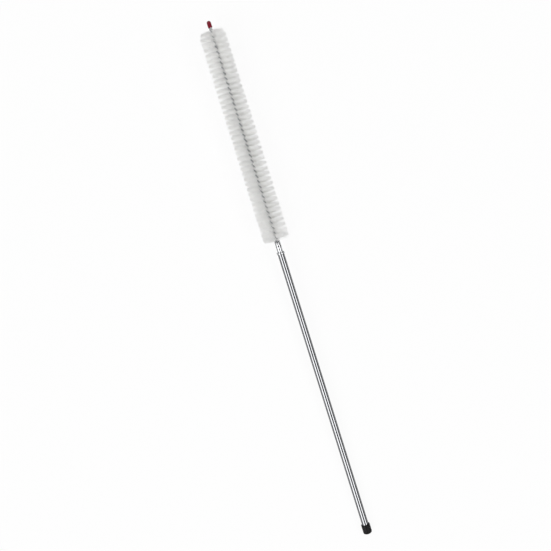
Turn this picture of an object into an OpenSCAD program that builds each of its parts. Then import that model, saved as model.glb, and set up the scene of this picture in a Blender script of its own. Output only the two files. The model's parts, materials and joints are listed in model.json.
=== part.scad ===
// Bottle brush: a twisted-wire brush on a steel tube handle, lying on a flat surface.
// Every piece is drawn upright, from the handle's free end at zero up to the tip.
// The whole brush is then laid along X, where the end cap and the fill carry it.
// All sizes are in millimetres.

/* [Handle tube] */
// Outside diameter of the tube
tube_diameter = 12; // [10:0.5:16]
// Wall of the tube
tube_wall = 1; // [0.8:0.1:1.2]
// Cut length of the tube
tube_length = 532.5; // [300:0.5:700]
// Bevel on both cut ends
tube_bevel = 0.3; // [0.1:0.1:0.5]

/* [End cap] */
// Rubber around the tube
cap_wall = 2.1; // [1.5:0.1:3]
// Rubber beyond the tube's end
cap_floor = 4; // [3:0.5:8]
// Length of tube that the cap covers
cap_cover = 12.5; // [8:0.5:25]
// Rounding of the closed end
cap_round = 2.6; // [1:0.2:5]
// Rounding of the open rim
cap_lip = 0.7; // [0.3:0.1:1.2]

/* [Ferrule] */
// Outside diameter of the neck
neck_diameter = 10; // [9:0.1:11]
// Length of the neck above the collar
neck_length = 22.5; // [14:0.5:40]
// How far the collar stands out from the tube
collar_step = 1; // [0.5:0.1:2]
// Length of the collar
collar_length = 4; // [3:0.5:8]
// Rounding of the collar's edges
collar_round = 0.8; // [0.3:0.1:1.2]
// Length of the spigot inside the tube
spigot_length = 26; // [16:1:40]
// Solid metal left below the wire's socket
spigot_floor = 8; // [4:0.5:12]
// Diameter of the ball that presses each crimp
crimp_ball = 3.2; // [2:0.2:4]
// Depth of each crimp
crimp_depth = 0.8; // [0.4:0.1:1]
// Crimps around the neck
crimp_count = 6; // [3:1:6]

/* [Wire] */
// Diameter of the wire
wire_diameter = 2.6; // [2:0.1:2.8]
// Gap between the two strands, which holds the filaments
wire_web = 0.8; // [0.7:0.05:1]
// Length of one full turn of the twist
twist_pitch = 19.4; // [16:0.2:28]
// Straight legs between the twist and the folded end
wire_legs = 5; // [2:0.5:8]

/* [Bristles] */
// Diameter over the filaments
bristle_diameter = 50; // [36:1:60]
// Length of the filled stretch
bristle_length = 395.5; // [240:0.5:480]
// Bare wire between the neck and the fill
bristle_gap = 1; // [0.5:0.5:6]
// Half angle that each fan of filaments spreads to at its rim
fan_spread = 50; // [40:1:60]
// Half angle of the fan at half its height
fan_waist = 40; // [24:1:44]
// Length of the tapered nose
nose_length = 14; // [6:1:30]
// Diameter of the fill at the nose's end
nose_diameter = 38; // [24:1:46]
// How far the fill gives way where it carries the brush
fill_press = 1.2; // [0.4:0.1:2]

/* [Tip cap] */
// Bare wire between the fill and the tip cap
tip_gap = 5.5; // [0.5:0.5:8]
// Wall around the wire
tip_wall = 0.8; // [0.6:0.1:2]
// Length of the tip cap
tip_length = 13; // [12:0.5:24]
// Plastic beyond the wire's folded end
tip_floor = 3; // [1.5:0.5:5]
// Rounding of the open rim
tip_lip = 0.4; // [0.2:0.1:0.6]

/* [Fits] */
// Radial room between pieces that fit into each other
fit = 0.1; // [0.05:0.05:0.2]
// Room at the blind end of each wire socket
end_room = 0.8; // [0.7:0.1:1.5]
// Room between the fill's waist and each strand
web_room = 0.15; // [0.12:0.01:0.2]

/* [Hidden] */
$fn = 96;
wire_sides = 6;
wire_rings = 9;
fill_rings = 10;
bend_rings = 6;

// Radii
tube_r = tube_diameter / 2;
bore_r = tube_r - tube_wall;
cap_r = tube_r + cap_wall;
cap_edge = min(cap_round, cap_r - 1);
collar_r = tube_r + collar_step;
neck_r = neck_diameter / 2;
strand_r = (wire_diameter + wire_web) / 2;
pair_r = wire_diameter + wire_web / 2;
socket_r = pair_r + fit;
tip_r = socket_r + tip_wall;
fill_r = bristle_diameter / 2;

// Where each fan leaves the gap between the strands
root_x = 0.3 * wire_diameter;

// Heights, from the handle's free end
cap_length = cap_floor + cap_cover;
tube_top = cap_floor + tube_length;
neck_z = tube_top + collar_length;
neck_top = neck_z + neck_length;
socket_z = tube_top - spigot_length + spigot_floor;
wire_z = socket_z + end_room;
fill_z = neck_top + bristle_gap;
fill_top = fill_z + bristle_length;
tip_z = fill_top + tip_gap;
tip_top = tip_z + tip_length;
bend_z = tip_top - tip_floor - end_room - pair_r;
twist_top = bend_z - wire_legs;

// Rest on the floor: the cap's rounded end and the fill's lower end touch it
rest_run = fill_z - cap_edge;
rest_rise = fill_r - cap_r + cap_edge;
rest_tilt = atan2(rest_rise, rest_run) - asin((fill_press + cap_edge) / norm([rest_run, rest_rise]));
rest_height = (cap_r - cap_edge) * cos(rest_tilt) + cap_edge - cap_edge * sin(rest_tilt);
rest_back = cap_edge * cos(rest_tilt) - (cap_r - cap_edge) * sin(rest_tilt) - cap_edge;
rest_front = (tip_top - tip_r) * cos(rest_tilt) + tip_r;

function unit(v) = v / norm(v);

// Direction of the fans at height z: a left-hand twist that points down at the fill's lower end
function fan_turn(z) = -360 * (z - fill_z) / twist_pitch;

// Height above the floor of a point of the upright brush, once it is laid down
function floor_height(p) = rest_height + p.z * sin(rest_tilt) - p.x * cos(rest_tilt);

// A point of the fill that would go below the floor lies on it instead
function pressed(p) =
    let (h = floor_height(p))
    h < 0 ? [p.x + h / cos(rest_tilt), p.y, p.z] : p;

// Triangles over rings of n points each, with a flat face on the first and the last ring
function skin(rings, n) = concat(
    [[for (k = [0 : n - 1]) k]],
    [
        for (i = [0 : rings - 2], k = [0 : n - 1])
            let (a = i * n + k, b = i * n + (k + 1) % n)
            each [[a, a + n, b], [b, a + n, b + n]]
    ],
    [[for (k = [n - 1 : -1 : 0]) (rings - 1) * n + k]]
);

// Radius of the fill at height z
function fill_radius(z) =
    let (into = max(0, z - (fill_top - nose_length)) / nose_length)
    fill_r - (fill_r - nose_diameter / 2) * into * into;

// One fan of the fill's cross-section, from its waist on one side to its waist on the other
function fan(r) = concat(
    [[root_x, -(wire_web / 2 - web_room)]],
    [[r / 2 * cos(fan_waist), -r / 2 * sin(fan_waist)]],
    [for (k = [-3 : 2 : 3]) [r * cos(fan_spread * k / 3), r * sin(fan_spread * k / 3)]],
    [[r / 2 * cos(fan_waist), r / 2 * sin(fan_waist)]],
    [[root_x, wire_web / 2 - web_room]]
);

// Both fans at height z
function fill_ring(z) =
    let (r = fill_radius(z))
    [
        for (side = [0, 180], p = fan(r))
            let (a = fan_turn(z) + side)
            pressed([p.x * cos(a) - p.y * sin(a), p.x * sin(a) + p.y * cos(a), z])
    ];

// Middle line of the folded wire: up one strand, over the bend and down the other
wire_steps = ceil((twist_top - wire_z) / twist_pitch * wire_rings);
bend_turn = fan_turn(twist_top) + 90;
strand = [
    for (i = [0 : wire_steps])
        let (z = wire_z + (twist_top - wire_z) * i / wire_steps, a = fan_turn(z) + 90)
        [strand_r * cos(a), strand_r * sin(a), z]
];
bend = [
    for (i = [0 : bend_rings])
        let (b = 180 * i / bend_rings, across = strand_r * cos(b))
        [across * cos(bend_turn), across * sin(bend_turn), bend_z + strand_r * sin(b)]
];
wire_line = concat(
    strand,
    bend,
    [for (i = [wire_steps : -1 : 0]) [-strand[i].x, -strand[i].y, strand[i].z]]
);

// Radius to the corners of a ring that has the round wire's area
ring_r = wire_diameter / 2 * sqrt(2 * PI / (wire_sides * sin(360 / wire_sides)));

// Ring of the wire around point i of its middle line, with a flat towards the other strand
function wire_ring(i) =
    let (
        last = len(wire_line) - 1,
        p = wire_line[i],
        along = unit(wire_line[min(i + 1, last)] - wire_line[max(i - 1, 0)]),
        out = unit(p - [0, 0, min(p.z, bend_z)]),
        side = unit(cross(along, out))
    )
    [
        for (k = [0 : wire_sides - 1])
            let (f = 360 * (k + 0.5) / wire_sides)
            p + ring_r * (cos(f) * out + sin(f) * side)
    ];

module laid() {
    translate([-(rest_back + rest_front) / 2, 0, rest_height])
        rotate([0, 90 - rest_tilt, 0])
            children();
}

// White filaments, gripped between the two strands
module bristles() {
    rings = ceil(bristle_length / twist_pitch * fill_rings);
    points = [
        for (i = [0 : rings])
            each fill_ring(fill_z + bristle_length * i / rings)
    ];
    color("white")
        laid()
            polyhedron(points, skin(rings + 1, len(points) / (rings + 1)), convexity = 10);
}

// One steel wire, folded in half and twisted
module stem_wire() {
    rings = len(wire_line);
    points = [
        for (i = [0 : rings - 1])
            each wire_ring(i)
    ];
    color("silver")
        laid()
            polyhedron(points, skin(rings, wire_sides), convexity = 10);
}

// Domed plastic cap over the wire's folded end
module tip_cap() {
    color("crimson")
        laid()
            translate([0, 0, tip_z])
                rotate_extrude()
                    difference() {
                        union() {
                            square([tip_r - tip_lip, tip_length - tip_r]);
                            translate([0, tip_lip])
                                square([tip_r, tip_length - tip_r - tip_lip]);
                            translate([tip_r - tip_lip, tip_lip])
                                circle(tip_lip);
                            intersection() {
                                translate([0, tip_length - tip_r])
                                    circle(tip_r);
                                square([tip_r, tip_length]);
                            }
                        }
                        square([socket_r, tip_length - tip_floor]);
                    }
}

// Turned neck with a stop collar, a spigot for the tube and a blind socket for the wire
module ferrule() {
    spigot_r = bore_r - fit;
    crimp_z = neck_z + neck_length / 2;
    color("lightsteelblue")
        laid()
            difference() {
                rotate_extrude() {
                    translate([0, tube_top - spigot_length])
                        square([spigot_r, spigot_length]);
                    translate([0, tube_top])
                        collar_profile();
                    translate([0, neck_z])
                        square([neck_r, neck_length]);
                }
                translate([0, 0, socket_z])
                    cylinder(r = socket_r, h = neck_top - socket_z + 1);
                for (k = [0 : crimp_count - 1])
                    rotate(360 * k / crimp_count)
                        translate([-(neck_r + crimp_ball / 2 - crimp_depth), 0, crimp_z])
                            sphere(d = crimp_ball);
            }
}

module collar_profile() {
    square([collar_r - collar_round, collar_length]);
    translate([0, collar_round])
        square([collar_r, collar_length - 2 * collar_round]);
    for (h = [collar_round, collar_length - collar_round])
        translate([collar_r - collar_round, h])
            circle(collar_round);
}

// Straight tube, bevelled at both ends
module handle_tube() {
    color("gainsboro")
        laid()
            translate([0, 0, cap_floor])
                rotate_extrude()
                    polygon([
                        [bore_r, 0],
                        [tube_r - tube_bevel, 0],
                        [tube_r, tube_bevel],
                        [tube_r, tube_length - tube_bevel],
                        [tube_r - tube_bevel, tube_length],
                        [bore_r, tube_length],
                    ]);
}

// Rubber cap pushed over the tube's free end
module end_cap() {
    color("dimgray")
        laid()
            rotate_extrude()
                difference() {
                    union() {
                        square([cap_r - cap_edge, cap_edge]);
                        translate([0, cap_edge])
                            square([cap_r, cap_length - cap_edge - cap_lip]);
                        translate([cap_r - cap_edge, cap_edge])
                            circle(cap_edge);
                        translate([0, cap_edge])
                            square([cap_r - cap_lip, cap_length - cap_edge]);
                        translate([cap_r - cap_lip, cap_length - cap_lip])
                            circle(cap_lip);
                    }
                    translate([0, cap_floor])
                        square([tube_r + fit, cap_cover + 1]);
                }
}

bristles();
stem_wire();
tip_cap();
ferrule();
handle_tube();
end_cap();
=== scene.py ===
import json
import math

import bmesh
import bpy
from mathutils import Matrix, Vector


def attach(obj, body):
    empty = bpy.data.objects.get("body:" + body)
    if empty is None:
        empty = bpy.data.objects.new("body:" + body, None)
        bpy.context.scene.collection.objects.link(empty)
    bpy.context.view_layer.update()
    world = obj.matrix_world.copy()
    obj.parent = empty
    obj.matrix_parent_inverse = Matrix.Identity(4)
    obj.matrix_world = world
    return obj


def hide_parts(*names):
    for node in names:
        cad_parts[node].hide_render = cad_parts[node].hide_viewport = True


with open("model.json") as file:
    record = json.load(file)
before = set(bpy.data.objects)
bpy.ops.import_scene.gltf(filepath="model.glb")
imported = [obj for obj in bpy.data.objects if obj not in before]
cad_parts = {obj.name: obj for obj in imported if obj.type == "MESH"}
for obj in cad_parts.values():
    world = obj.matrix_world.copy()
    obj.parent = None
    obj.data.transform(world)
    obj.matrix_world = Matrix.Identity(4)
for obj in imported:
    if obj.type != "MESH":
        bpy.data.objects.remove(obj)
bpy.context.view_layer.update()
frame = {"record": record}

# Handle tube
# A straight length of stainless tube, 12 mm outside with a 1 mm wall, drawn, cut and polished.
# One end is pushed into the rubber cap, the other over the ferrule's spigot, up to its collar.

MM = 0.001
TUBE_RADIUS = 6.0 * MM
TUBE_WALL = 1.0 * MM
TUBE_BORE = TUBE_RADIUS - TUBE_WALL
TUBE_LENGTH = 532.5 * MM
TUBE_BEVEL = 0.3 * MM
TUBE_COVERED = 12.5 * MM
# Heights are measured along the brush, from the closed end of the rubber cap
TUBE_START = 4.0 * MM
TUBE_END = TUBE_START + TUBE_LENGTH
GRIP_MIDDLE = (TUBE_START + TUBE_COVERED + TUBE_END) / 2

# The brush is drawn upright, from the handle's free end, and laid where the grip mount says
grip = next(m for m in frame["record"]["mounts"] if m["name"] == "handle_grip")
along = Vector(grip["axis"]).normalized()
down = Vector((along.z, 0.0, -along.x))
tilt = math.asin(along.z)
laid = Matrix((down, Vector((0.0, 1.0, 0.0)), along)).transposed().to_4x4()
laid.translation = Vector(grip["pos_m"]) - along * GRIP_MIDDLE

# Points closer than this are at the same place, and edges sharper than this aren't shaded smooth
SAME_PLACE = 0.001 * MM
SHARP_EDGE = math.radians(32)


def turned(name, outline, around):
    """A piece turned from a closed outline of radius and height, laid where the brush lies."""
    shape = bmesh.new()
    angles = [2 * math.pi * k / around for k in range(around)]
    rings = []
    for radius, height in outline:
        spots = [(radius * math.cos(a), radius * math.sin(a), height) for a in angles]
        if radius < SAME_PLACE:
            spots = [(0.0, 0.0, height)]
        rings.append([shape.verts.new(spot) for spot in spots])
    for one, two in zip(rings, rings[1:] + rings[:1]):
        if len(one) == len(two) == 1:
            continue
        for k in range(around):
            # A ring on the axis is a single point, which a face takes only once
            path = ((one, k), (one, k + 1), (two, k + 1), (two, k))
            corners = [ring[place % len(ring)] for ring, place in path]
            shape.faces.new(list(dict.fromkeys(corners)))
    bmesh.ops.recalc_face_normals(shape, faces=shape.faces)
    mesh = bpy.data.meshes.new(name)
    shape.to_mesh(mesh)
    shape.free()
    mesh.transform(laid)
    mesh.shade_smooth()
    mesh.set_sharp_from_angle(angle=SHARP_EDGE)
    piece = bpy.data.objects.new(name, mesh)
    bpy.context.scene.collection.objects.link(piece)
    return piece


def new_finish(name):
    """A new material, with its node tree and the Principled surface in it."""
    material = bpy.data.materials.new(name)
    material.use_nodes = True
    return material, material.node_tree, material.node_tree.nodes["Principled BSDF"]


def linear(hex_colour):
    """Linear colour of an sRGB hex value."""
    parts = [int(hex_colour[i : i + 2], 16) / 255 for i in (0, 2, 4)]
    return [p / 12.92 if p <= 0.04045 else ((p + 0.055) / 1.055) ** 2.4 for p in parts] + [1.0]


def add_node(tree, kind, links=None, **settings):
    """A node with its settings, whose inputs get values or links from other nodes' outputs."""
    node = tree.nodes.new(kind)
    for key, value in settings.items():
        setattr(node, key, value)
    for key, value in (links or {}).items():
        if isinstance(value, bpy.types.NodeSocket):
            tree.links.new(value, node.inputs[key])
        else:
            node.inputs[key].default_value = value
    return node


# Drawn and polished stainless steel: a near mirror, with fine lines along the tube and handling haze.
# The tint of its edge is low, because the pale sheet under the tube would wash out its dark sides.
tube_steel, tree, surface = new_finish("Polished drawn stainless steel")
surface.inputs["Metallic"].default_value = 1.0
surface.inputs["Specular Tint"].default_value = linear("08080A")
place = add_node(tree, "ShaderNodeTexCoord").outputs["Object"]
# Polishing lines run along the tube, drawn coarser than real ones so that they show from near
LINE_LENGTH = 62.5 * MM
LINE_SPACING = 0.4 * MM
stretched = add_node(
    tree,
    "ShaderNodeMapping",
    {
        "Vector": place,
        "Rotation": (0.0, tilt, 0.0),
        "Scale": (1 / LINE_LENGTH, 1 / LINE_SPACING, 1 / LINE_SPACING),
    },
)
lines = add_node(tree, "ShaderNodeTexNoise", {"Vector": stretched.outputs[0], "Scale": 1.0, "Detail": 2.0})
# Haze from handling lies in soft patches
HAZE_PATCH = 30.3 * MM
haze = add_node(tree, "ShaderNodeTexNoise", {"Vector": place, "Scale": 1 / HAZE_PATCH, "Detail": 3.0})
# Inputs 6 and 7 of a Mix node are the two colours that it mixes, and output 2 is the result
tones = add_node(
    tree,
    "ShaderNodeMix",
    {0: haze.outputs["Fac"], 6: linear("8C8D8F"), 7: linear("969799")},
    data_type="RGBA",
)
tree.links.new(tones.outputs[2], surface.inputs["Base Color"])
worn = add_node(tree, "ShaderNodeMapRange", {"Value": haze.outputs["Fac"], "To Min": 0.07, "To Max": 0.15})
tree.links.new(worn.outputs[0], surface.inputs["Roughness"])
relief = add_node(
    tree, "ShaderNodeBump", {"Height": lines.outputs["Fac"], "Strength": 0.03, "Distance": 0.02 * MM}
)
tree.links.new(relief.outputs[0], surface.inputs["Normal"])

tube = turned(
    "handle_tube_polished",
    [
        (TUBE_BORE, TUBE_START),
        (TUBE_RADIUS - TUBE_BEVEL, TUBE_START),
        (TUBE_RADIUS, TUBE_START + TUBE_BEVEL),
        (TUBE_RADIUS, TUBE_END - TUBE_BEVEL),
        (TUBE_RADIUS - TUBE_BEVEL, TUBE_END),
        (TUBE_BORE, TUBE_END),
    ],
    around=128,
)
tube.data.materials.append(tube_steel)
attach(tube, "root")
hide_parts("handle_tube")

# End cap
# A moulded black rubber cap, stretched over the tube's free end, with a well rounded closed end.
# It keeps the cut edge from scratching, and the brush rests on it when it lies down.

# The room all round in a pressed joint
FIT = 0.1 * MM
CAP_WALL = 2.1 * MM
CAP_RADIUS = TUBE_RADIUS + CAP_WALL
CAP_BORE = TUBE_RADIUS + FIT
CAP_FLOOR = TUBE_START
CAP_LENGTH = CAP_FLOOR + TUBE_COVERED
CAP_ROUND = 2.6 * MM
CAP_LIP = 0.7 * MM


def arc(radius, height, size, start, end, steps):
    """Points of a rounded edge of an outline, around (radius, height), between two angles in degrees."""
    turns = [math.radians(start + (end - start) * i / steps) for i in range(steps + 1)]
    return [(radius + size * math.cos(a), height + size * math.sin(a)) for a in turns]


# Moulded rubber: nearly black and matte, with a fine sparked grain and a little grey bloom
cap_rubber, tree, surface = new_finish("Moulded black rubber")
surface.inputs["IOR"].default_value = 1.52
surface.inputs["Specular IOR Level"].default_value = 0.2
place = add_node(tree, "ShaderNodeTexCoord").outputs["Object"]
BLOOM_PATCH = 6.25 * MM
bloom = add_node(tree, "ShaderNodeTexNoise", {"Vector": place, "Scale": 1 / BLOOM_PATCH, "Detail": 4.0})
tones = add_node(
    tree,
    "ShaderNodeMix",
    {0: bloom.outputs["Fac"], 6: linear("060606"), 7: linear("101011")},
    data_type="RGBA",
)
tree.links.new(tones.outputs[2], surface.inputs["Base Color"])
worn = add_node(tree, "ShaderNodeMapRange", {"Value": bloom.outputs["Fac"], "To Min": 0.45, "To Max": 0.65})
tree.links.new(worn.outputs[0], surface.inputs["Roughness"])
# The grain is drawn coarser than a real one so that it shows from near
SPARK_GRAIN = 0.357 * MM
grain = add_node(tree, "ShaderNodeTexNoise", {"Vector": place, "Scale": 1 / SPARK_GRAIN, "Detail": 1.0})
relief = add_node(
    tree, "ShaderNodeBump", {"Height": grain.outputs["Fac"], "Strength": 0.25, "Distance": 0.05 * MM}
)
tree.links.new(relief.outputs[0], surface.inputs["Normal"])

cap = turned(
    "end_cap_rubber",
    [(0.0, 0.0)]
    + arc(CAP_RADIUS - CAP_ROUND, CAP_ROUND, CAP_ROUND, -90, 0, 10)
    + arc(CAP_RADIUS - CAP_LIP, CAP_LENGTH - CAP_LIP, CAP_LIP, 0, 90, 5)
    + [(CAP_BORE, CAP_LENGTH), (CAP_BORE, CAP_FLOOR), (0.0, CAP_FLOOR)],
    around=96,
)
cap.data.materials.append(cap_rubber)
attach(cap, "root")
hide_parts("end_cap")

# Ferrule
# Turned from steel bar: a spigot pressed into the tube, a collar that stops it, and a neck.
# The wire sits in a blind hole in the neck, and six ball crimps round the neck hold it there.

SPIGOT_RADIUS = TUBE_BORE - FIT
SPIGOT_LENGTH = 26.0 * MM
SPIGOT_FLOOR = 8.0 * MM
SPIGOT_START = TUBE_END - SPIGOT_LENGTH
COLLAR_STEP = 1.0 * MM
COLLAR_RADIUS = TUBE_RADIUS + COLLAR_STEP
COLLAR_LENGTH = 4.0 * MM
COLLAR_END = TUBE_END + COLLAR_LENGTH
COLLAR_ROUND = 0.8 * MM
NECK_RADIUS = 5.0 * MM
NECK_LENGTH = 22.5 * MM
NECK_END = COLLAR_END + NECK_LENGTH
NECK_EDGE = 0.3 * MM
SOCKET_RADIUS = 3.1 * MM
SOCKET_START = SPIGOT_START + SPIGOT_FLOOR
CRIMPS = 6
CRIMP_BALL = 1.6 * MM
CRIMP_DEPTH = 0.8 * MM
CRIMP_HEIGHT = (COLLAR_END + NECK_END) / 2
# The neck gets close rows of points as far as this either side of the crimps' middle
CRIMP_SPAN = 2.0 * MM
CRIMP_ROWS = 33

# Turned and polished steel: bright, with faint rings round it from the lathe tool, and painted shade in the
# crimps
turned_steel, tree, surface = new_finish("Turned polished steel")
surface.inputs["Metallic"].default_value = 1.0
surface.inputs["Specular Tint"].default_value = linear("8A8A8C")
place = add_node(tree, "ShaderNodeTexCoord").outputs["Object"]
# Tool rings, drawn coarser than real ones so that they show from near
RING_SPACING = 0.303 * MM
RING_RUN = 83.3 * MM
stretched = add_node(
    tree,
    "ShaderNodeMapping",
    {
        "Vector": place,
        "Rotation": (0.0, tilt, 0.0),
        "Scale": (1 / RING_SPACING, 1 / RING_RUN, 1 / RING_RUN),
    },
)
rings = add_node(tree, "ShaderNodeTexNoise", {"Vector": stretched.outputs[0], "Scale": 1.0, "Detail": 1.0})
tones = add_node(
    tree,
    "ShaderNodeMix",
    {0: rings.outputs["Fac"], 6: linear("B8B9BB"), 7: linear("C2C3C5")},
    data_type="RGBA",
)
# The crimps are painted near black inside: painted shade in the dents, in place of the shade and dark
# reflections they hold
painted_crimp_shade = add_node(tree, "ShaderNodeAttribute", attribute_name="crimp").outputs["Fac"]
tones_and_painted_crimp_shade = add_node(
    tree, "ShaderNodeMix", {0: painted_crimp_shade, 6: tones.outputs[2], 7: linear("2A2A2B")}, data_type="RGBA"
)
tree.links.new(tones_and_painted_crimp_shade.outputs[2], surface.inputs["Base Color"])
worn = add_node(tree, "ShaderNodeMapRange", {"Value": rings.outputs["Fac"], "To Min": 0.12, "To Max": 0.24})
tree.links.new(worn.outputs[0], surface.inputs["Roughness"])
relief = add_node(
    tree, "ShaderNodeBump", {"Height": rings.outputs["Fac"], "Strength": 0.08, "Distance": 0.03 * MM}
)
tree.links.new(relief.outputs[0], surface.inputs["Normal"])

crimp_rows = [CRIMP_HEIGHT + CRIMP_SPAN * (2 * i / (CRIMP_ROWS - 1) - 1) for i in range(CRIMP_ROWS)]
ferrule = turned(
    "ferrule_turned",
    [(0.0, SPIGOT_START), (SPIGOT_RADIUS, SPIGOT_START), (SPIGOT_RADIUS, TUBE_END)]
    + arc(COLLAR_RADIUS - COLLAR_ROUND, TUBE_END + COLLAR_ROUND, COLLAR_ROUND, -90, 0, 6)
    + arc(COLLAR_RADIUS - COLLAR_ROUND, COLLAR_END - COLLAR_ROUND, COLLAR_ROUND, 0, 90, 6)
    + [(NECK_RADIUS, COLLAR_END)]
    + [(NECK_RADIUS, row) for row in crimp_rows]
    + arc(NECK_RADIUS - NECK_EDGE, NECK_END - NECK_EDGE, NECK_EDGE, 0, 90, 4)
    + [(SOCKET_RADIUS, NECK_END), (SOCKET_RADIUS, SOCKET_START), (0.0, SOCKET_START)],
    around=128,
)
upright = laid.inverted()
ball_distance = NECK_RADIUS + CRIMP_BALL - CRIMP_DEPTH
# The points that the crimps push in are marked, which is where the steel gets its painted shade
crimp = ferrule.data.attributes.new("crimp", "FLOAT", "POINT")
for vertex in ferrule.data.vertices:
    point = upright @ vertex.co
    if abs(math.hypot(point.x, point.y) - NECK_RADIUS) > SAME_PLACE:
        continue
    for k in range(CRIMPS):
        turn = 2 * math.pi * k / CRIMPS
        ball = Vector((-ball_distance * math.cos(turn), -ball_distance * math.sin(turn), CRIMP_HEIGHT))
        if (point - ball).length < CRIMP_BALL:
            # The point goes in along the crimp's own line until it lies on the ball
            inward = -Vector((ball.x, ball.y, 0.0)).normalized()
            across = (point - ball) - inward * (point - ball).dot(inward)
            sunk = math.sqrt(CRIMP_BALL**2 - across.length_squared)
            vertex.co = laid @ (ball + across + inward * sunk)
            crimp.data[vertex.index].value = 1.0
ferrule.data.materials.append(turned_steel)
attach(ferrule, "root")
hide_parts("ferrule")

# Stem wire
# One hard steel wire of 2.6 mm, folded in half like a hairpin and twisted, which grips the bristles.
# The two cut ends sit in the ferrule, and the fold is covered by the tip cap.

WIRE_RADIUS = 1.3 * MM
STRAND_RADIUS = SOCKET_RADIUS - FIT - WIRE_RADIUS
# The room past the cut ends in the ferrule, and past the fold in the tip cap
END_ROOM = 0.8 * MM
WIRE_START = SOCKET_START + END_ROOM
TWIST_LENGTH = 446.9 * MM
TWIST_END = WIRE_START + TWIST_LENGTH
TWIST_PITCH = 19.4 * MM
STRAIGHT_LEGS = 5.0 * MM
BEND_HEIGHT = TWIST_END + STRAIGHT_LEGS
FILL_GAP = 1.0 * MM
FILL_START = NECK_END + FILL_GAP
WIRE_RINGS = 20
BEND_RINGS = 12
WIRE_SIDES = 14

# A left-hand twist, in radians to a metre: the fans point down where the fill starts
TWIST = -2 * math.pi / TWIST_PITCH

steps = math.ceil(TWIST_LENGTH / TWIST_PITCH * WIRE_RINGS)
strand = []
for i in range(steps + 1):
    height = WIRE_START + TWIST_LENGTH * i / steps
    side = TWIST * (height - FILL_START) + math.pi / 2
    strand.append(Vector((STRAND_RADIUS * math.cos(side), STRAND_RADIUS * math.sin(side), height)))
across = Vector((strand[-1].x, strand[-1].y, 0.0))
fold = [
    across * math.cos(math.pi * i / BEND_RINGS)
    + Vector((0.0, 0.0, BEND_HEIGHT + STRAND_RADIUS * math.sin(math.pi * i / BEND_RINGS)))
    for i in range(BEND_RINGS + 1)
]
back = [Vector((-p.x, -p.y, p.z)) for p in reversed(strand)]
middle_line = [laid @ p for p in strand + fold + back]

# Hard drawn spring steel: grey and half bright, mottled by drawing marks
wire_steel, tree, surface = new_finish("Drawn spring steel wire")
surface.inputs["Metallic"].default_value = 1.0
place = add_node(tree, "ShaderNodeTexCoord").outputs["Object"]
DRAWING_MARK = 1.54 * MM
marks = add_node(tree, "ShaderNodeTexNoise", {"Vector": place, "Scale": 1 / DRAWING_MARK, "Detail": 3.0})
tones = add_node(
    tree,
    "ShaderNodeMix",
    {0: marks.outputs["Fac"], 6: linear("B4B5B7"), 7: linear("CFD0D2")},
    data_type="RGBA",
)
tree.links.new(tones.outputs[2], surface.inputs["Base Color"])
worn = add_node(tree, "ShaderNodeMapRange", {"Value": marks.outputs["Fac"], "To Min": 0.28, "To Max": 0.45})
tree.links.new(worn.outputs[0], surface.inputs["Roughness"])

# The wire is swept along its middle line
sweep = bpy.data.node_groups.new("wire sweep", "GeometryNodeTree")
sweep.interface.new_socket("Middle line", in_out="INPUT", socket_type="NodeSocketGeometry")
radius_input = sweep.interface.new_socket("Wire radius", in_out="INPUT", socket_type="NodeSocketFloat")
sides_input = sweep.interface.new_socket("Sides", in_out="INPUT", socket_type="NodeSocketInt")
sweep.interface.new_socket("Wire", in_out="OUTPUT", socket_type="NodeSocketGeometry")
given = add_node(sweep, "NodeGroupInput").outputs
line = add_node(sweep, "GeometryNodeMeshToCurve", {"Mesh": given["Middle line"]}).outputs[0]
section = add_node(
    sweep,
    "GeometryNodeCurvePrimitiveCircle",
    {"Radius": given["Wire radius"], "Resolution": given["Sides"]},
).outputs[0]
swept = add_node(
    sweep, "GeometryNodeCurveToMesh", {"Curve": line, "Profile Curve": section, "Fill Caps": True}
).outputs[0]
smooth = add_node(sweep, "GeometryNodeSetShadeSmooth", {"Geometry": swept}).outputs[0]
real = add_node(sweep, "GeometryNodeRealizeInstances", {"Geometry": smooth}).outputs[0]
finished = add_node(sweep, "GeometryNodeSetMaterial", {"Geometry": real, "Material": wire_steel}).outputs[0]
add_node(sweep, "NodeGroupOutput", {"Wire": finished})


def made_by(tree, name, start, values):
    """A piece that a node tree makes from a start mesh, with values for the tree's named inputs."""
    piece = bpy.data.objects.new(name, start)
    bpy.context.scene.collection.objects.link(piece)
    modifier = piece.modifiers.new(tree.name, "NODES")
    modifier.node_group = tree
    for socket, value in values:
        modifier[socket.identifier] = value
    evaluated = piece.evaluated_get(bpy.context.evaluated_depsgraph_get())
    mesh = bpy.data.meshes.new_from_object(evaluated)
    piece.modifiers.clear()
    piece.data = mesh
    return piece


line_mesh = bpy.data.meshes.new("wire middle line")
line_mesh.from_pydata(middle_line, [(i, i + 1) for i in range(len(middle_line) - 1)], [])
wire = made_by(
    sweep, "stem_wire_twisted", line_mesh, [(radius_input, WIRE_RADIUS), (sides_input, WIRE_SIDES)]
)
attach(wire, "root")
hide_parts("stem_wire")

# Bristles
# White nylon filaments, cut to 50 mm, laid between the two legs of the wire before it is twisted.
# The twist turns them into two fans that wind round the core, and the ends are trimmed round.

FILL_LENGTH = 395.5 * MM
FILL_END = FILL_START + FILL_LENGTH
FILL_RADIUS = 25.0 * MM
NOSE_LENGTH = 14.0 * MM
NOSE_RADIUS = 19.0 * MM
NOSE_CURVE = 2.0
TRIM_SHORT = 0.95
TRIM_LONG = 0.985
# Three flat sides catch the light as evenly as the matte fill of the real brush does
FILAMENTS = 18000
FILAMENT_RADIUS = 0.17 * MM
FILAMENT_SIDES = 3
FILAMENT_POINTS = 5
GRIPPED_SCALE = 0.75
FRAYED_SCALE = 1.35
# Filaments splay round the core and lean along it, in radians, and spread wider near the fill's ends
SPLAY = 1.1
END_SPREAD = 1.35
END_REACH = 110.0 * MM
FILAMENT_LEAN = 0.03
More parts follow.
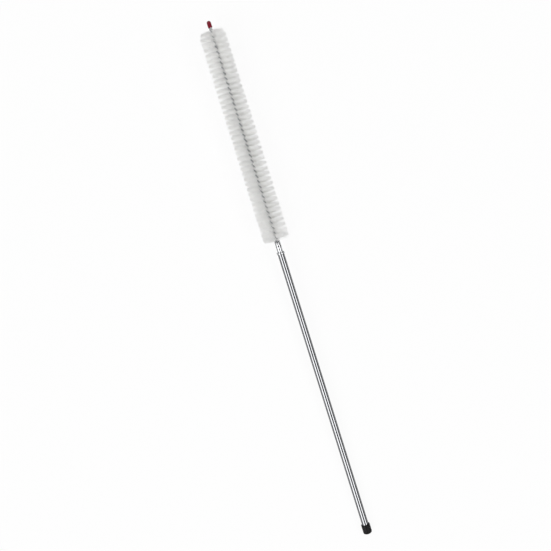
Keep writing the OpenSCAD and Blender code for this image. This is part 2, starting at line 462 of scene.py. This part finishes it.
# The full swing of a curled free end, and the curl's waves to a metre, each about 4.5 mm long
CURL = 3.0 * MM
CURL_WAVES = 220.0
# The fill is made in four stretches, which keeps each piece's mesh small
STRETCHES = 4
SEED_STEP = 10

# Extruded nylon filament: milky white, and each one slightly whiter, glossier or duller than the next
nylon, tree, surface = new_finish("White nylon filament")
surface.inputs["IOR"].default_value = 1.53
sheen = add_node(tree, "ShaderNodeAttribute", attribute_name="tint").outputs["Fac"]
tones = add_node(
    tree, "ShaderNodeMix", {0: sheen, 6: linear("FDFDFC"), 7: linear("FFFFFF")}, data_type="RGBA"
)
tree.links.new(tones.outputs[2], surface.inputs["Base Color"])
worn = add_node(tree, "ShaderNodeMapRange", {"Value": sheen, "To Min": 0.34, "To Max": 0.5})
tree.links.new(worn.outputs[0], surface.inputs["Roughness"])

# One stretch of the fill: points up the core, a filament out from each, pressed flat on the floor
fill = bpy.data.node_groups.new("twisted fill", "GeometryNodeTree")
fill.interface.new_socket("Geometry", in_out="INPUT", socket_type="NodeSocketGeometry")
fill_inputs = {
    label: fill.interface.new_socket(label, in_out="INPUT", socket_type=kind)
    for label, kind in {
        "Filaments": "NodeSocketInt",
        "Start": "NodeSocketFloat",
        "End": "NodeSocketFloat",
        "Reach": "NodeSocketFloat",
        "Filament radius": "NodeSocketFloat",
        "Seed": "NodeSocketInt",
    }.items()
}
fill.interface.new_socket("Fill", in_out="OUTPUT", socket_type="NodeSocketGeometry")
given = add_node(fill, "NodeGroupInput").outputs
splay_seed = given["Seed"]
lean_seed, trim_seed, stray_seed = [
    add_node(fill, "ShaderNodeMath", {0: splay_seed, 1: step}, operation="ADD").outputs[0]
    for step in (1.0, 2.0, 3.0)
]
points = add_node(fill, "GeometryNodePoints", {"Count": given["Filaments"]}).outputs[0]
index = add_node(fill, "GeometryNodeInputIndex").outputs[0]
height = add_node(
    fill,
    "ShaderNodeMapRange",
    {"Value": index, "From Max": given["Filaments"], "To Min": given["Start"], "To Max": given["End"]},
).outputs[0]
root = add_node(fill, "ShaderNodeCombineXYZ", {"Z": height}).outputs[0]
rooted = add_node(fill, "GeometryNodeSetPosition", {"Geometry": points, "Position": root}).outputs[0]
# Every second filament belongs to the opposite fan, half a turn away
climb = add_node(fill, "ShaderNodeMath", {0: height, 1: FILL_START}, operation="SUBTRACT").outputs[0]
twisted = add_node(fill, "ShaderNodeMath", {0: climb, 1: TWIST}, operation="MULTIPLY").outputs[0]
fan = add_node(
    fill, "ShaderNodeMath", {0: index, 1: math.pi, 2: twisted}, operation="MULTIPLY_ADD"
).outputs[0]
# Two draws together splay a filament round the core, so that most lie near their fan's middle
splay, stray = [
    add_node(
        fill, "FunctionNodeRandomValue", {2: -SPLAY / 2, 3: SPLAY / 2, "Seed": seed}, data_type="FLOAT"
    ).outputs[1]
    for seed in (splay_seed, stray_seed)
]
strayed = add_node(fill, "ShaderNodeMath", {0: splay, 1: stray}, operation="ADD").outputs[0]
# The fans spread wider towards both ends of the fill, which closes the gaps between them
to_tip = add_node(fill, "ShaderNodeMath", {0: FILL_LENGTH, 1: climb}, operation="SUBTRACT").outputs[0]
to_end = add_node(fill, "ShaderNodeMath", {0: climb, 1: to_tip}, operation="MINIMUM").outputs[0]
spread = add_node(
    fill,
    "ShaderNodeMapRange",
    {"Value": to_end, "From Max": END_REACH, "To Min": END_SPREAD, "To Max": 1.0},
).outputs[0]
heading = add_node(
    fill, "ShaderNodeMath", {0: strayed, 1: spread, 2: fan}, operation="MULTIPLY_ADD"
).outputs[0]
lean = add_node(
    fill,
    "FunctionNodeRandomValue",
    {2: -FILAMENT_LEAN, 3: FILAMENT_LEAN, "Seed": lean_seed},
    data_type="FLOAT",
).outputs[1]
turn = add_node(fill, "ShaderNodeCombineXYZ", {"Y": lean, "Z": heading}).outputs[0]
aim = add_node(fill, "FunctionNodeEulerToRotation", {"Euler": turn}).outputs[0]
# The reach falls off over the nose, and the trimmed ends are a little uneven
nose = add_node(
    fill,
    "ShaderNodeMapRange",
    {"Value": height, "From Min": FILL_END - NOSE_LENGTH, "From Max": FILL_END},
).outputs[0]
curve = add_node(fill, "ShaderNodeMath", {0: nose, 1: NOSE_CURVE}, operation="POWER").outputs[0]
trimmed = add_node(
    fill, "ShaderNodeMapRange", {"Value": curve, "To Min": given["Reach"], "To Max": NOSE_RADIUS}
).outputs[0]
uneven = add_node(
    fill, "FunctionNodeRandomValue", {2: TRIM_SHORT, 3: TRIM_LONG, "Seed": trim_seed}, data_type="FLOAT"
).outputs[1]
reach = add_node(fill, "ShaderNodeMath", {0: trimmed, 1: uneven}, operation="MULTIPLY").outputs[0]
# Each filament keeps a number of its own, for its finish
shade = add_node(fill, "FunctionNodeRandomValue", {"Seed": stray_seed}, data_type="FLOAT").outputs[1]
tinted = add_node(
    fill,
    "GeometryNodeStoreNamedAttribute",
    {"Geometry": rooted, "Name": "tint", "Value": shade},
    data_type="FLOAT",
    domain="POINT",
).outputs[0]
# A straight line of one metre, which the reach then scales, stands at every point
straight = add_node(
    fill, "GeometryNodeCurvePrimitiveLine", {"Start": (0.0, 0.0, 0.0), "End": (1.0, 0.0, 0.0)}
).outputs[0]
filament = add_node(
    fill, "GeometryNodeResampleCurve", {"Curve": straight, "Count": FILAMENT_POINTS}
).outputs[0]
fanned = add_node(
    fill,
    "GeometryNodeInstanceOnPoints",
    {"Points": tinted, "Instance": filament, "Rotation": aim, "Scale": reach},
).outputs[0]
loose = add_node(fill, "GeometryNodeRealizeInstances", {"Geometry": fanned}).outputs[0]
spot = add_node(fill, "GeometryNodeInputPosition").outputs[0]
out = add_node(fill, "GeometryNodeSplineParameter").outputs["Factor"]
# Each filament curls a little, more towards its free end
wave = add_node(
    fill, "ShaderNodeTexNoise", {"Vector": spot, "Scale": CURL_WAVES, "Detail": 1.0}
).outputs["Color"]
swing = add_node(
    fill, "ShaderNodeVectorMath", {0: wave, 1: (0.5, 0.5, 0.5)}, operation="SUBTRACT"
).outputs[0]
amount = add_node(fill, "ShaderNodeMath", {0: out, 1: CURL}, operation="MULTIPLY").outputs[0]
drift = add_node(fill, "ShaderNodeVectorMath", {0: swing, "Scale": amount}, operation="SCALE").outputs[0]
curled = add_node(fill, "GeometryNodeSetPosition", {"Geometry": loose, "Offset": drift}).outputs[0]
lying = add_node(
    fill,
    "GeometryNodeTransform",
    {
        "Geometry": curled,
        "Translation": tuple(laid.translation),
        "Rotation": (0.0, math.pi / 2 - tilt, 0.0),
    },
).outputs[0]
# Filaments that would go through the floor bend along it
level = add_node(fill, "ShaderNodeSeparateXYZ", {0: spot}).outputs
clear = add_node(
    fill, "ShaderNodeMath", {0: level["Z"], 1: given["Filament radius"]}, operation="MAXIMUM"
).outputs[0]
lifted = add_node(fill, "ShaderNodeCombineXYZ", {"X": level["X"], "Y": level["Y"], "Z": clear}).outputs[0]
bent = add_node(fill, "GeometryNodeSetPosition", {"Geometry": lying, "Position": lifted}).outputs[0]
section = add_node(
    fill,
    "GeometryNodeCurvePrimitiveCircle",
    {"Resolution": FILAMENT_SIDES, "Radius": given["Filament radius"]},
).outputs[0]
# The trimmed free ends are frayed, and so a little thicker than the gripped ones
frayed = add_node(
    fill, "ShaderNodeMapRange", {"Value": out, "To Min": GRIPPED_SCALE, "To Max": FRAYED_SCALE}
).outputs[0]
thick = add_node(
    fill,
    "GeometryNodeCurveToMesh",
    {"Curve": bent, "Profile Curve": section, "Scale": frayed, "Fill Caps": True},
).outputs[0]
flat_sided = add_node(
    fill, "GeometryNodeSetShadeSmooth", {"Geometry": thick, "Shade Smooth": False}
).outputs[0]
real = add_node(fill, "GeometryNodeRealizeInstances", {"Geometry": flat_sided}).outputs[0]
finished = add_node(fill, "GeometryNodeSetMaterial", {"Geometry": real, "Material": nylon}).outputs[0]
add_node(fill, "NodeGroupOutput", {"Fill": finished})

for k in range(STRETCHES):
    name = f"bristles_{k + 1}"
    values = {
        "Filaments": FILAMENTS // STRETCHES,
        "Start": FILL_START + FILL_LENGTH * k / STRETCHES,
        "End": FILL_START + FILL_LENGTH * (k + 1) / STRETCHES,
        "Reach": FILL_RADIUS,
        "Filament radius": FILAMENT_RADIUS,
        "Seed": SEED_STEP * k,
    }
    socket_values = [(fill_inputs[label], value) for label, value in values.items()]
    bristles = made_by(fill, name, bpy.data.meshes.new(name), socket_values)
    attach(bristles, "root")
    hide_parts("bristles")

# Tip cap
# A small domed cap of red plastic, pushed over the folded end of the wire.
# It keeps the wire's end from scratching the glass.

TIP_SOCKET = STRAND_RADIUS + WIRE_RADIUS + FIT
TIP_WALL = 0.8 * MM
TIP_RADIUS = TIP_SOCKET + TIP_WALL
TIP_LIP = 0.4 * MM
TIP_LENGTH = 13.0 * MM
TIP_CROWN = 3.0 * MM
TIP_FLOOR = BEND_HEIGHT + STRAND_RADIUS + WIRE_RADIUS + END_ROOM
TIP_END = TIP_FLOOR + TIP_CROWN
TIP_START = TIP_END - TIP_LENGTH

# Moulded polyethylene: deep crimson and glossy, slightly uneven in depth of colour and in surface
red_plastic, tree, surface = new_finish("Glossy red polyethylene")
surface.inputs["IOR"].default_value = 1.51
surface.inputs["Specular IOR Level"].default_value = 0.3
surface.inputs["Roughness"].default_value = 0.2
place = add_node(tree, "ShaderNodeTexCoord").outputs["Object"]
COLOUR_PATCH = 4.0 * MM
depth = add_node(tree, "ShaderNodeTexNoise", {"Vector": place, "Scale": 1 / COLOUR_PATCH, "Detail": 2.0})
tones = add_node(
    tree,
    "ShaderNodeMix",
    {0: depth.outputs["Fac"], 6: linear("6C0E20"), 7: linear("8C1A30")},
    data_type="RGBA",
)
tree.links.new(tones.outputs[2], surface.inputs["Base Color"])
RIPPLE = 1.54 * MM
ripple = add_node(tree, "ShaderNodeTexNoise", {"Vector": place, "Scale": 1 / RIPPLE, "Detail": 1.0})
relief = add_node(
    tree, "ShaderNodeBump", {"Height": ripple.outputs["Fac"], "Strength": 0.15, "Distance": 0.1 * MM}
)
tree.links.new(relief.outputs[0], surface.inputs["Normal"])

tip = turned(
    "tip_cap_red",
    [(TIP_SOCKET, TIP_START)]
    + arc(TIP_RADIUS - TIP_LIP, TIP_START + TIP_LIP, TIP_LIP, -90, 0, 5)
    + arc(0.0, TIP_END - TIP_RADIUS, TIP_RADIUS, 0, 90, 16)[:-1]
    + [(0.0, TIP_END), (0.0, TIP_FLOOR), (TIP_SOCKET, TIP_FLOOR)],
    around=64,
)
tip.data.materials.append(red_plastic)
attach(tip, "root")
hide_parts("tip_cap")

# Floor, light and camera
# A plain pale sheet in a dim room, under softboxes that lean over it like a tent's two sides.
# The camera looks straight down through the slot between them.

FLOOR_REACH = 20.0
floor_mesh = bpy.data.meshes.new("floor")
corners = [(x * FLOOR_REACH, y * FLOOR_REACH, 0.0) for x, y in ((-1, -1), (1, -1), (1, 1), (-1, 1))]
floor_mesh.from_pydata(corners, [], [(0, 1, 2, 3)])
floor = bpy.data.objects.new("floor", floor_mesh)
bpy.context.scene.collection.objects.link(floor)

# White card: matte, and evenly pale
white_card, tree, surface = new_finish("White card")
surface.inputs["Base Color"].default_value = linear("F5F5F5")
surface.inputs["Roughness"].default_value = 0.9
surface.inputs["Specular IOR Level"].default_value = 0.0
# To the eye and in reflections most of its light comes from behind it, which keeps the shadow faint
GLOW_SHARE = 0.93
glow = add_node(tree, "ShaderNodeEmission", {"Strength": 1.0})
path = add_node(tree, "ShaderNodeLightPath").outputs
seen = path["Is Camera Ray"]
for ray in ("Is Glossy Ray", "Is Transmission Ray"):
    seen = add_node(tree, "ShaderNodeMath", {0: seen, 1: path[ray]}, operation="MAXIMUM").outputs[0]
share = add_node(tree, "ShaderNodeMath", {0: seen, 1: GLOW_SHARE}, operation="MULTIPLY").outputs[0]
card = add_node(tree, "ShaderNodeMixShader", {0: share, 1: surface.outputs[0], 2: glow.outputs[0]})
tree.links.new(card.outputs[0], tree.nodes["Material Output"].inputs["Surface"])
floor_mesh.materials.append(white_card)


def hang_softbox(name, place, lean, width, depth, radiance):
    """A flat lamp, evenly bright, that the camera doesn't see. Sizes are in metres."""
    lamp = bpy.data.lights.new(name, "AREA")
    lamp.shape = "RECTANGLE"
    lamp.size = width
    lamp.size_y = depth
    lamp.energy = radiance * math.pi * width * depth
    box = bpy.data.objects.new(name, lamp)
    box.location = place
    box.rotation_euler = (lean, 0.0, 0.0)
    box.visible_camera = False
    bpy.context.scene.collection.objects.link(box)


# The tube mirrors these softboxes as its light bands: a pair beside it for the camera above, and a
# pair past each end of the brush for views from the sides. Both tent sides lean at 45 degrees and meet
# at the ridge. Each row has a side, left being 1, the stretch along the brush in metres, the radiance,
# and the two angles from straight up between which the brush sees that softbox.
RIDGE_HEIGHT = 8.0
TENT_LEAN = math.radians(45)
for name, side, start, stop, radiance, inner, outer in (
    ("softbox left", 1, -3.9, -0.4, 3.7, 24, 61),
    ("softbox right", -1, -3.9, -0.4, 4.2, 24, 50),
    ("softbox left, past the handle", 1, -8.2, -4.2, 2.0, 24, 50),
    ("softbox right, past the handle", -1, -8.2, -4.2, 2.0, 24, 50),
    ("softbox left, past the tip", 1, 2.3, 6.0, 2.0, 24, 50),
    ("softbox right, past the tip", -1, 2.3, 6.0, 2.0, 24, 50),
):
    slopes = [math.tan(math.radians(angle)) for angle in (inner, outer)]
    near, far = [RIDGE_HEIGHT * slope / (1 + slope) for slope in slopes]
    middle = (near + far) / 2
    place = ((start + stop) / 2, side * middle, RIDGE_HEIGHT - middle)
    depth = (far - near) / math.cos(TENT_LEAN)
    hang_softbox(name, place, -side * TENT_LEAN, stop - start, depth, radiance)

# One more hangs level, above and past the tip, and lights the fill, clear of what the handle mirrors
hang_softbox("softbox above", (1.1, 0.0, 1.9), lean=0.0, width=1.1, depth=2.0, radiance=0.7)

# The room is dim, and lighter on the brush's left side, as by a window
ROOM_DARK = 0.07
ROOM_LIGHT = 0.28
room = bpy.data.worlds.new("room")
bpy.context.scene.world = room
room.use_nodes = True
tree = room.node_tree
walls = tree.nodes["Background"]
walls.inputs["Color"].default_value = linear("FFFFFF")
direction = add_node(tree, "ShaderNodeTexCoord").outputs["Generated"]
sideways = add_node(tree, "ShaderNodeSeparateXYZ", {0: direction}).outputs["Y"]
brightness = add_node(
    tree,
    "ShaderNodeMapRange",
    {"Value": sideways, "From Min": -1.0, "To Min": ROOM_DARK, "To Max": ROOM_LIGHT},
)
tree.links.new(brightness.outputs[0], walls.inputs["Strength"])

# The photograph's frame is 551 pixels wide, and one pixel is 1.82 mm at the brush's axis. In those
# pixels, the camera hangs 880 above the axis and 133 up from the frame's middle, which is over the
# fill, and the brush's middle lies 13.25 right of the frame's middle and 3.3 below it.
PHOTO_WIDTH = 551
PIXEL = 1.8194 * MM
CAMERA_DISTANCE = 880
CAMERA_RISE = 133.0
BRUSH_RIGHT = 13.25
BRUSH_BELOW = 3.3
BRUSH_LEAN = math.radians(17.29)
AXIS_HEIGHT = 19.0 * MM
SENSOR_WIDTH = 36.0
lens = bpy.data.cameras.new("camera")
lens.sensor_fit = "HORIZONTAL"
lens.sensor_width = SENSOR_WIDTH
lens.lens = SENSOR_WIDTH * CAMERA_DISTANCE / PHOTO_WIDTH
lens.shift_y = -CAMERA_RISE / PHOTO_WIDTH
lens.clip_end = 100.0
camera = bpy.data.objects.new("camera", lens)
camera_turn = -math.pi / 2 - BRUSH_LEAN
right = Vector((math.cos(camera_turn), math.sin(camera_turn), 0.0))
up = Vector((-math.sin(camera_turn), math.cos(camera_turn), 0.0))
camera.location = (up * (BRUSH_BELOW + CAMERA_RISE) - right * BRUSH_RIGHT) * PIXEL
camera.location.z = CAMERA_DISTANCE * PIXEL + AXIS_HEIGHT
camera.rotation_euler = (0.0, 0.0, camera_turn)
bpy.context.scene.collection.objects.link(camera)
bpy.context.scene.camera = camera
bpy.context.scene.view_settings.view_transform = "Standard"
# White filaments pass light on to each other many times
LIGHT_PASSES = 24
bpy.context.scene.cycles.max_bounces = LIGHT_PASSES
bpy.context.scene.cycles.diffuse_bounces = LIGHT_PASSES
